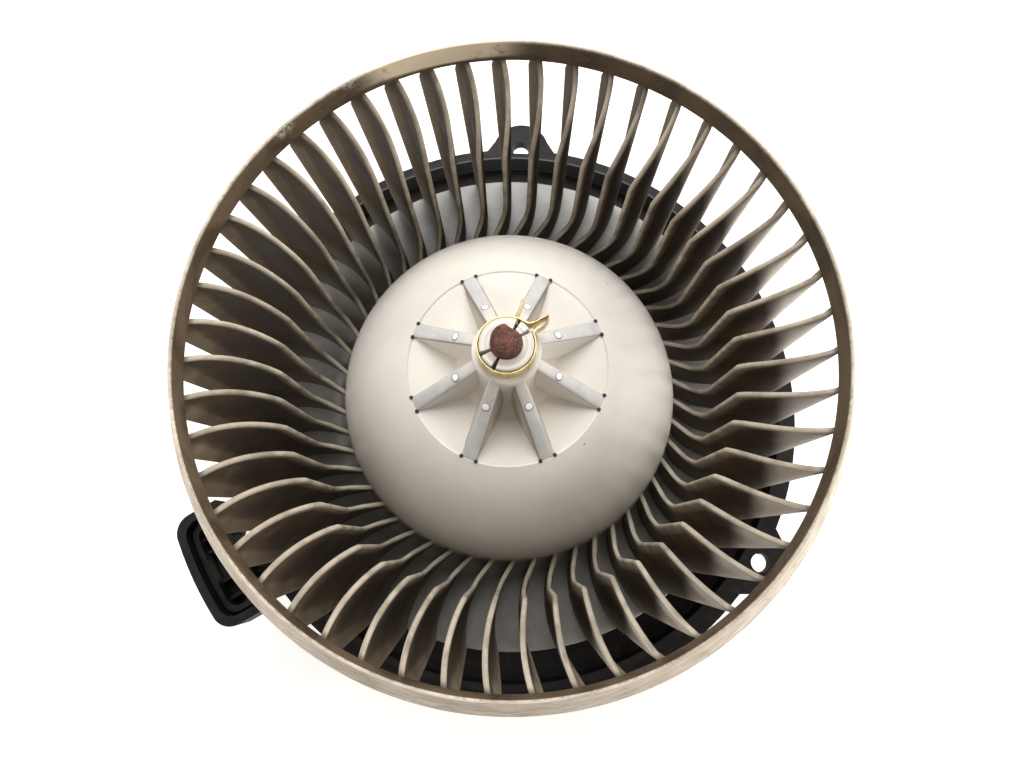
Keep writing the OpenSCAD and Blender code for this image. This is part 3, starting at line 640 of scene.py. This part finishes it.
def blade_plan(samples=400):
    """Plan curve of a blade: its length, radius and place, from the dome out to the lip's end."""
    centre, radius, bend = (66.6, -0.9 + 32.5), 32.5, 1.6
    first = math.asin((46.5 - centre[0]) / radius)
    last = math.asin((74.9 - centre[0]) / radius)
    web = radius * (last - first)
    lip_dir = math.radians(38.0)
    turn = bend * (lip_dir - last)
    out = []
    for s in np.linspace(0.0, web + turn + 6.5, samples):
        if s <= web:
            t = first + s / radius
            p = (centre[0] + radius * math.sin(t), centre[1] - radius * math.cos(t))
            heading = t
        else:
            start = (centre[0] + radius * math.sin(last), centre[1] - radius * math.cos(last))
            d = min(s - web, turn)
            heading = last + d / bend
            p = (start[0] + bend * (math.sin(heading) - math.sin(last)),
                 start[1] - bend * (math.cos(heading) - math.cos(last)))
            rest = max(0.0, s - web - turn)
            p = (p[0] + rest * math.cos(heading), p[1] + rest * math.sin(heading))
        out.append((s, math.hypot(*p), p[0], p[1], heading))
    return np.array(out), web


def blade_mesh(thickness):
    """One blade: a curved web with a crowned top edge, a low foot and a turned, tapering lip."""
    plan, web = blade_plan()
    run, rad = plan[:, 0], plan[:, 1]
    inner = rounded([(48.2, 58.8), (48.2, 71.6), (57.2, 74.2, 6.0), (57.3, 105.9, 2.6), (58.6, 108.9)], False, 5)
    inner += arc_between((58.6, 108.9), (75.5, BLADE_TOP), 32.0, 13)[1:]
    outer = rounded([(76.2, 58.8), (79.2, 116.2, 1.0), (78.1, 120.6), (77.4, 122.0), (76.0, BLADE_TOP)], False, 3)
    inner, outer = np.array(inner), np.array(outer)
    half = thickness / 2
    edge_steps = np.array([0.0, 0.08, 0.3, 0.62, 1.0])
    body_steps = np.linspace(0.0, 1.0, 8)[1:]
    verts, edge, lip, across = [], [], [], []
    rows = len(inner)
    for j, (r_in, z) in enumerate(inner):
        r_out = float(np.interp(z, outer[:, 1], outer[:, 0]))
        tangent = inner[min(j + 1, rows - 1)] - inner[max(j - 1, 0)]
        lean = max(abs(tangent[1]) / max(np.hypot(*tangent), 1e-6), 0.25)
        s_in, s_out = np.interp([r_in, r_out], rad, run)
        room = max(s_out - s_in, 0.02)
        border = min(half / lean, room * 0.45)
        s_line = list(s_in + border * edge_steps)
        bend_at = min(max(web, s_in + border + 0.3 * (room - border)), s_out - 0.45 * min(half, room * 0.3))
        s_line += list(s_in + border + (bend_at - s_in - border) * body_steps)
        tip = min(half * 0.8, (s_out - bend_at) * 0.4)
        s_line += list(np.linspace(bend_at, s_out - tip, 4)[1:])
        s_line += [s_out - tip * 0.35, s_out]
        for k, s in enumerate(s_line):
            x, y, heading = (float(np.interp(s, run, plan[:, c])) for c in (2, 3, 4))
            if k < len(edge_steps):
                width = half * math.sqrt(max(0.0, 1 - (1 - edge_steps[k]) ** 2))
            elif k >= len(s_line) - 2:
                width = half * 0.78 * (0.75 if k == len(s_line) - 2 else 0.0)
            else:
                width = half * (1.0 - 0.22 * max(0.0, min(1.0, (s - web) / 3.0)))
            for side in (-1, 1):
                verts.append((x - side * width * math.sin(heading), y + side * width * math.cos(heading), z))
                edge.append(1.0 if k < 4 else (0.6 if k == 4 else 0.0))
                lip.append(max(0.0, min(1.0, (s - web + 0.4) / 1.6)))
                across.append(side * width / half)
    cols = len(s_line)
    faces = []
    for j in range(rows - 1):
        for k in range(cols - 1):
            a, b = (j * cols + k) * 2, ((j + 1) * cols + k) * 2
            faces.append((a, a + 2, b + 2, b))
            faces.append((a + 1, b + 1, b + 3, a + 3))
    for j in (0, rows - 1):
        for k in range(cols - 1):
            a = (j * cols + k) * 2
            faces.append((a, a + 1, a + 3, a + 2))
    mesh = bpy.data.meshes.new("wheel_blades")
    mesh.from_pydata([(x * MM, y * MM, z * MM) for x, y, z in verts], [], faces)
    obj = bpy.data.objects.new("wheel_blades", mesh)
    bpy.context.scene.collection.objects.link(obj)
    store(obj, "edge", edge)
    store(obj, "lip", lip)
    store(obj, "across", across)
    tidy(obj, 0.003)
    obj.data.shade_smooth()
    sharpen(obj, 60)
    return obj


def ring_profile():
    """Outline of the ring: plain inside, a small step near the top outside, a flared skirt."""
    return rounded([
        (RING_IN, 122.5, 0.2), (RING_IN, RING_TOP, 0.25), (75.7, RING_TOP, 0.25), (75.85, 128.5, 0.12),
        (75.7, 128.3, 0.08), (76.3, 126.6, 0.4), (77.4, 123.8, 4.0), (80.2, 119.2, 0.3),
        (80.25, 118.8, 0.15), (79.5, 118.5, 0.15), (77.4, 121.3, 1.5), (76.3, 122.3, 0.6)])


def dome_profile():
    """Outline of the disc, the dome, the recess and the boss up to its shoulder, with a hollow underside."""
    dome = arc_between((NOSE_R + 0.1, NOSE_Z), (DOME_R, DISC_TOP + 9.6), 45.0, 26)
    under = arc_between((NOSE_R - 1.2, NOSE_Z - 3.0), (DOME_R - 2, DISC_TOP + 9.2), 43.2, 14)[::-1]
    root = [(DOME_R + 0.25, 66.4), (DOME_R + 0.9, 64.4), (DOME_R + 2.3, 62.0), (DOME_R + 4.3, 60.5),
            (DOME_R + 6.9, DISC_TOP)]
    disc = rounded([(75.1, DISC_TOP, 0.4), (75.5, 59.4, 0.4), (75.5, DISC_LOW, 0.5), (55.0, DISC_LOW)], False, 3)
    low = [(49.6, DISC_LOW + 0.4), (48.0, DISC_LOW + 2.4), (47.4, 63.0)]
    inside = [(BORE_R, FLOOR_Z - 2.0), (BORE_R, 114.9)]
    boss = rounded([(6.5, 114.9), (6.5, 118.3, 0.2), (BOSS_R - 0.1, 118.3, 0.6), (BOSS_R, 116.6), (BOSS_R + 0.2, 110.0),
                    (BOSS_R + 1.1, 105.0, 2.5), (BOSS_R + 4.4, FLOOR_Z + 0.4, 2.5),
                    (25.6, FLOOR_Z, 0.2), (25.75, NOSE_Z - 0.1, 0.1)], False, 4)
    return inside + boss + dome + root + disc + low + under


def nose_rib_mesh():
    """One rib of the nose: a smooth crest that narrows towards the boss, with flared sides."""
    verts, faces, depth, stations = [], [], [], 15
    for i in range(stations):
        t = i / (stations - 1)
        r = 25.7 - t * (25.7 - 7.4)
        z = NOSE_Z + 0.05 + (25.7 - r) / (25.7 - BOSS_R) * 13.4
        crest = 1.95 - 0.55 * t
        deep = z - FLOOR_Z + 0.4
        side = [(0.0, 0.16), (0.45 * crest, 0.1), (0.85 * crest, -0.03), (crest, -0.3)]
        for k in (0.25, 0.55, 0.8):
            side.append((crest + deep * k * 0.12, -0.3 - (deep - 0.3) * k))
        side += [(crest + deep * 0.12 + 0.5, -deep + 0.2), (crest + deep * 0.12 + 1.0, -deep - 0.5)]
        row = [(-y, h) for y, h in side[::-1]] + side[1:]
        verts += [(r, y, z + h) for y, h in row]
        depth += [max(0.0, -h) for y, h in row]
    n = len(row)
    for i in range(stations - 1):
        for k in range(n):
            m = (k + 1) % n
            faces.append((i * n + k, (i + 1) * n + k, (i + 1) * n + m, i * n + m))
    faces += [tuple(range(n)), tuple(range((stations - 1) * n, stations * n))]
    obj = new_object("nose_ribs", verts, faces)
    store(obj, "depth", depth)
    sharpen(obj, 50)
    return obj


def disc_shape(name, x, y, z, radius, height, lean, bevel=0.3, steps=20):
    """A small round boss or pit with a bevelled rim, leaned about the Y axis."""
    rim = [(0.0, -height), (radius, -height), (radius, height * (1 - bevel)), (radius * (1 - bevel * 0.6), height),
           (0.0, height)]
    verts, faces, n = [], [], len(rim)
    turn = Matrix.Rotation(math.radians(lean), 3, "Y")
    for i in range(steps):
        a = math.tau * i / steps
        for r, h in rim:
            p = turn @ Vector((r * math.cos(a), r * math.sin(a), h)) + Vector((x, y, z))
            verts.append(tuple(p))
    for i in range(steps):
        j = (i + 1) % steps
        for k in range(n - 1):
            faces.append((i * n + k, j * n + k, j * n + k + 1, i * n + k + 1))
    return new_object(name, verts, faces)


class BLOWER_OT_ring(bpy.types.Operator):
    """Builds the wheel's flared ring"""

    bl_idname = "blower.ring"
    bl_label = "Ring"

    def execute(self, context):
        ring = lathe("wheel_ring", ring_profile(), 300)
        sharpen(ring, 60)
        ring.data.materials.append(ring_finish())
        ride(ring, "rotor", "wheel_plastic", "fan_wheel")
        return {"FINISHED"}


class BLOWER_OT_blades(bpy.types.Operator):
    """Builds one blade and repeats it round the wheel"""

    bl_idname = "blower.blades"
    bl_label = "Blades"

    def execute(self, context):
        given = sizes()
        blades = blade_mesh(given.blade_thickness / MM)
        repeat_round(blades, given.blade_count, given.blade_start, blade_finish(), given.seed)
        ride(blades, "rotor", "wheel_plastic", "fan_wheel")
        return {"FINISHED"}


class BLOWER_OT_dome(bpy.types.Operator):
    """Builds the dome, the base disc, the ribbed nose and the split boss"""

    bl_idname = "blower.dome"
    bl_label = "Dome and nose"

    def execute(self, context):
        given = sizes()
        cream = dome_finish()
        dome = lathe("wheel_dome", dome_profile(), 256)
        sharpen(dome, 40)
        dome.data.materials.append(cream)
        ribs = nose_rib_mesh()
        repeat_round(ribs, given.rib_count, given.rib_start, rib_finish())
        pips = disc_shape("rib_pips", 13.6, 0, 112.82, 0.9, 0.14, 37.5)
        repeat_round(pips, given.rib_count, given.rib_start,
                     plastic_finish("pip_white", (0.9, 0.9, 0.89), 0.3, 0.03))
        rings = disc_shape("rib_pip_rims", 13.6, 0, 112.72, 1.1, 0.12, 37.5)
        repeat_round(rings, given.rib_count, given.rib_start,
                     plastic_finish("pip_rim", (0.2, 0.19, 0.17), 0.6))
        pits = disc_shape("rib_end_pits", 25.75, 1.95, 103.35, 0.5, 0.16, 20)
        other = disc_shape("rib_end_pits_b", 25.75, -1.95, 103.35, 0.5, 0.16, 20)
        dark = plastic_finish("pit_shadow", (0.035, 0.03, 0.026), 0.8)
        for pit in (pits, other):
            repeat_round(pit, given.rib_count, given.rib_start, dark)
        jaws = self.boss_jaws(cream)
        for piece in [dome, ribs, pips, rings, pits, other] + jaws:
            ride(piece, "rotor", "wheel_plastic", "fan_wheel")
        return {"FINISHED"}

    @staticmethod
    def boss_jaws(material):
        """The boss above its shoulder, split by four slots."""
        profile = rounded([(BORE_R, 114.9), (BORE_R, BOSS_TOP, 0.3), (BOSS_TOP_R, BOSS_TOP, 0.5),
                           (BOSS_TOP_R, 114.9)], True, 4)
        half = math.degrees(0.45 / 5.0)
        angles = sorted(a % 360 for a in SLOT_ANGLES)
        made = []
        for i, a in enumerate(angles):
            b = angles[(i + 1) % 4] + (360 if i == 3 else 0)
            sweep = b - a - 2 * half
            jaw = lathe(f"boss_jaw_{i + 1}", profile, max(6, int(sweep / 4)), a + half, sweep)
            sharpen(jaw, 40)
            jaw.data.materials.append(material)
            made.append(jaw)
        return made


class BLOWER_OT_clip(bpy.types.Operator):
    """Builds the spring clip with its two bent ends"""

    bl_idname = "blower.clip"
    bl_label = "Spring clip"

    def execute(self, context):
        low, high = 118.8, 123.3
        brass = metal_finish("brass_strip", tuple(colours().brass), (0.6, 0.48, 0.2), 0.32, 1.2)
        path = []
        for i in range(61):
            a = math.radians(17.0 - 317.0 * i / 60)
            path.append((CLIP_R * math.cos(a), CLIP_R * math.sin(a), low, high))
        band = strip("clip_band", path, None, 0.36)
        thin = [(3.1, 4.6, 119.8, 122.6), (3.55, 6.4, 119.9, 122.8), (4.6, 8.6, 120.1, 123.0), (5.5, 10.4, 120.2, 123.2)]
        tongue = strip("clip_tongue", [tuple(p) for p in smooth_path(thin)], None, 0.62)
        loop = [(3.45, 6.05, low, high), (4.98, 4.9, low + 0.2, high + 0.1), (6.2, 4.25, low + 0.4, high + 0.2),
                (7.6, 4.45, low + 0.6, high + 0.3), (8.9, 4.95, low + 0.9, high + 0.4), (10.7, 5.6, low + 1.3, high + 0.5)]
        upper = strip("clip_loop", [tuple(p) for p in smooth_path(loop)], None, 0.4)
        hook = [(6.64, 2.03, low, high), (7.3, 2.7, low + 0.3, high - 0.3), (8.3, 3.1, low + 0.5, high - 0.4),
                (9.5, 3.6, low + 0.8, high - 0.3), (10.5, 4.7, low + 1.2, high), (10.7, 5.6, low + 1.4, high + 0.4)]
        lower = strip("clip_hook", [tuple(p) for p in smooth_path(hook)], None, 0.4)
        for piece in (band, tongue, upper, lower):
            piece.data.materials.append(brass)
            ride(piece, "rotor", "clip_brass", "spring_clip")
        return {"FINISHED"}


class BLOWER_OT_shaft(bpy.types.Operator):
    """Builds the rusty end of the shaft; the rest keeps its CAD form"""

    bl_idname = "blower.shaft"
    bl_label = "Shaft"

    def execute(self, context):
        low, top, flat = 8.0, 128.6, 2.75
        verts, faces, n, rings = [], [], 64, []
        worn = math.radians(-100)
        for z, r, cut in ((low, SHAFT_R - 0.4, 9), (low + 0.4, SHAFT_R, 9), (107.6, SHAFT_R, 9), (107.7, SHAFT_R, flat),
                          (124.1, SHAFT_R, flat), (127.7, SHAFT_R - 0.12, flat - 0.05),
                          (128.2, SHAFT_R - 0.25, flat - 0.15), (128.48, SHAFT_R - 0.55, flat - 0.4),
                          (top, SHAFT_R - 1.1, flat - 0.85)):
            rings.append(len(verts))
            for i in range(n):
                a = math.tau * i / n
                if z > 127.5:
                    r_here = r - max(0.0, math.cos(a - worn)) ** 1.5 * (z - 127.5) * 1.7
                else:
                    r_here = r
                x, y = r_here * math.cos(a), r_here * math.sin(a)
                along = (x + y) / math.sqrt(2)
                if along > cut:
                    x -= (along - cut) / math.sqrt(2)
                    y -= (along - cut) / math.sqrt(2)
                verts.append((x, y, z))
        for a, b in zip(rings, rings[1:]):
            faces += [(a + i, a + (i + 1) % n, b + (i + 1) % n, b + i) for i in range(n)]
        faces += [tuple(range(n)), tuple(range(rings[-1], rings[-1] + n))]
        shaft = new_object("shaft", verts, faces)
        sharpen(shaft, 40)
        shaft.data.materials.append(rust_finish())
        ride(shaft, "rotor", "rusty_steel", "motor_shaft")
        return {"FINISHED"}


class BLOWER_OT_flange(bpy.types.Operator):
    """Gives the flange its black moulded finish"""

    bl_idname = "blower.flange"
    bl_label = "Flange"

    def execute(self, context):
        paint_node("mounting_flange", flange_finish())
        return {"FINISHED"}


def paint_node(name, material):
    """A better material on every slot of a CAD node."""
    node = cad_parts[name]
    if not node.data.materials:
        node.data.materials.append(material)
    for i in range(len(node.data.materials)):
        node.data.materials[i] = material


class BLOWER_OT_motor(bpy.types.Operator):
    """Gives the motor's own parts their metals, carbon and plastics"""

    bl_idname = "blower.motor"
    bl_label = "Motor"

    def execute(self, context):
        zinc = metal_finish("zinc_plate", (0.52, 0.53, 0.55), (0.3, 0.31, 0.33), 0.38, 1.4)
        bronze = metal_finish("sintered_bronze", (0.42, 0.27, 0.13), (0.2, 0.12, 0.06), 0.5, 0.5, 0.06)
        spring = metal_finish("spring_steel", (0.34, 0.37, 0.42), (0.16, 0.17, 0.2), 0.32, 1.0)
        brass = metal_finish("box_brass", (0.6, 0.45, 0.17), (0.35, 0.23, 0.08), 0.35, 1.0)
        finishes = {
            "armature_core": laminated_finish(),
            "armature_winding": winding_finish(),
            "commutator": metal_finish("commutator_copper", (0.6, 0.3, 0.16), (0.25, 0.1, 0.05), 0.3, 0.8),
            "shaft_spacers": plastic_finish("spacer_nylon", (0.6, 0.57, 0.48), 0.45, 0.08),
            "motor_can": zinc,
            "end_plate": zinc,
            "front_bearing": bronze,
            "rear_bearing": bronze,
            "front_bearing_retainer": spring,
            "rear_bearing_retainer": spring,
            "magnet_left": plastic_finish("ferrite", (0.07, 0.072, 0.078), 0.62, 0.35),
            "magnet_springs": spring,
            "brush_plate": plastic_finish("brown_laminate", (0.24, 0.13, 0.055), 0.5, 0.3),
            "brush_left": plastic_finish("carbon", (0.035, 0.035, 0.038), 0.55, 0.4),
            "brush_guides": brass,
            "brush_springs": spring,
            "connector_housing": plastic_finish("connector_black", (0.02, 0.02, 0.022), 0.45, 0.3),
            "connector_terminals": metal_finish("tinned_brass", (0.62, 0.55, 0.4), (0.4, 0.33, 0.2), 0.3, 1.0),
            "motor_screws": metal_finish("screw_zinc", (0.5, 0.51, 0.53), (0.24, 0.23, 0.2), 0.36, 0.8),
        }
        finishes["magnet_right"] = finishes["magnet_left"]
        finishes["brush_right"] = finishes["brush_left"]
        for name, material in finishes.items():
            paint_node(name, material)
        return {"FINISHED"}


class BLOWER_OT_studio(bpy.types.Operator):
    """Sets a pale floor, soft lamps and the camera"""

    bl_idname = "blower.studio"
    bl_label = "Studio"

    def execute(self, context):
        self.floor()
        self.world()
        self.lamps()
        self.camera()
        return {"FINISHED"}

    @staticmethod
    def floor():
        """A large pale floor that keeps the soft shadow and shows white to the camera."""
        mesh = bpy.data.meshes.new("floor")
        mesh.from_pydata([(-3, -3, 0), (3, -3, 0), (3, 3, 0), (-3, 3, 0)], [], [(0, 1, 2, 3)])
        floor = bpy.data.objects.new("floor", mesh)
        bpy.context.scene.collection.objects.link(floor)
        f = Finish("pale_floor")
        tree = f.tree
        grain = f.noise(40.0, 3.0)
        f.close(f.blend(f.span(grain, 0.3, 0.7), (0.8, 0.79, 0.78), (0.82, 0.81, 0.8)), 0.6, Specular_IOR_Level=0.2)
        path = f.add("ShaderNodeLightPath")
        seen = f.maths("MAXIMUM", path.outputs["Is Camera Ray"], path.outputs["Is Glossy Ray"])
        glow = f.add("ShaderNodeEmission", {"Color": (1.0, 0.985, 0.97, 1.0), "Strength": f.maths("MULTIPLY", seen, 0.5)})
        both = f.add("ShaderNodeAddShader")
        tree.links.new(f.shader.outputs[0], both.inputs[0])
        tree.links.new(glow.outputs[0], both.inputs[1])
        tree.links.new(both.outputs[0], tree.nodes["Material Output"].inputs["Surface"])
        floor.data.materials.append(f.material)

    @staticmethod
    def world():
        """Even soft light from all round, white to the camera."""
        world = bpy.data.worlds.new("studio")
        world.use_nodes = True
        tree = world.node_tree
        tree.nodes.clear()
        node = tree.nodes.new
        out, even, white, mix = (node("ShaderNodeOutputWorld"), node("ShaderNodeBackground"),
                                 node("ShaderNodeBackground"), node("ShaderNodeMixShader"))
        path = node("ShaderNodeLightPath")
        even.inputs["Color"].default_value = (1.0, 0.91, 0.8, 1.0)
        even.inputs["Strength"].default_value = 0.3
        white.inputs["Color"].default_value = (1, 1, 1, 1)
        white.inputs["Strength"].default_value = 1.0
        tree.links.new(path.outputs["Is Camera Ray"], mix.inputs[0])
        tree.links.new(even.outputs[0], mix.inputs[1])
        tree.links.new(white.outputs[0], mix.inputs[2])
        tree.links.new(mix.outputs[0], out.inputs[0])
        bpy.context.scene.world = world

    @staticmethod
    def lamps():
        """A wide lamp over the far side and a weaker one from the right."""
        for name, place, power, size, tint in (
                ("key", (0.12, 0.62, 0.9), 11.5, 0.7, (1.0, 0.99, 0.975)),
                ("side", (0.85, -0.1, 0.32), 6.0, 0.5, (1.0, 0.95, 0.91)),
                ("left", (-0.8, 0.15, 0.55), 4.0, 0.6, (1.0, 0.97, 0.94)),
                ("low", (0.8, -0.4, 0.3), 2.0, 0.6, (1.0, 0.97, 0.94))):
            light = bpy.data.lights.new(name, "AREA")
            light.energy, light.size, light.color = power, size, tint
            lamp = bpy.data.objects.new(name, light)
            lamp.location = place
            lamp.rotation_euler = (Vector((0, 0, 0.09)) - Vector(place)).to_track_quat("-Z", "Y").to_euler()
            bpy.context.scene.collection.objects.link(lamp)

    @staticmethod
    def camera():
        """The camera fitted to the photograph."""
        tilt, roll = math.radians(77.14), math.radians(8.16)
        ahead = Vector((0, math.cos(tilt), -math.sin(tilt)))
        side, over = Vector((1, 0, 0)), Vector((0, math.sin(tilt), math.cos(tilt)))
        right = math.cos(roll) * side - math.sin(roll) * over
        up = math.sin(roll) * side + math.cos(roll) * over
        data = bpy.data.cameras.new("camera")
        data.sensor_width = 36.0
        data.sensor_fit = "HORIZONTAL"
        data.lens = 714.32 / 1024 * 36.0
        data.shift_x = 21.19 / 1024
        data.shift_y = 0.26 / 1024
        data.clip_start, data.clip_end = 0.01, 20.0
        camera = bpy.data.objects.new("camera", data)
        turn = Matrix((right, up, -ahead)).transposed().to_4x4()
        camera.matrix_world = Matrix.Translation((-4.81 * MM, -44.8 * MM, 281.1 * MM)) @ turn
        bpy.context.scene.collection.objects.link(camera)
        bpy.context.scene.camera = camera
        bpy.context.scene.view_settings.view_transform = "Standard"


class BLOWER_PT_panel(bpy.types.Panel):
    """Lists the steps and their sizes and colours"""

    bl_idname = "BLOWER_PT_panel"
    bl_label = "Blower"
    bl_space_type = "VIEW_3D"
    bl_region_type = "UI"
    bl_category = "Blower"

    def draw(self, context):
        for step in STEPS:
            self.layout.operator(step.bl_idname)
        for group in (context.scene.blower_sizes, context.scene.blower_colours):
            for name in group.__annotations__:
                self.layout.prop(group, name)


STEPS = (BLOWER_OT_ring, BLOWER_OT_blades, BLOWER_OT_dome, BLOWER_OT_clip, BLOWER_OT_shaft,
         BLOWER_OT_flange, BLOWER_OT_motor, BLOWER_OT_studio)
CLASSES = (BlowerSizes, BlowerColours) + STEPS + (BLOWER_PT_panel,)


def register():
    for cls in CLASSES:
        bpy.utils.register_class(cls)
    bpy.types.Scene.blower_sizes = bpy.props.PointerProperty(type=BlowerSizes)
    bpy.types.Scene.blower_colours = bpy.props.PointerProperty(type=BlowerColours)


def unregister():
    del bpy.types.Scene.blower_colours
    del bpy.types.Scene.blower_sizes
    for cls in reversed(CLASSES):
        bpy.utils.unregister_class(cls)


def main():
    register()
    for step in STEPS:
        group, name = step.bl_idname.split(".")
        getattr(getattr(bpy.ops, group), name)()


if __name__ == "__main__":
    main()
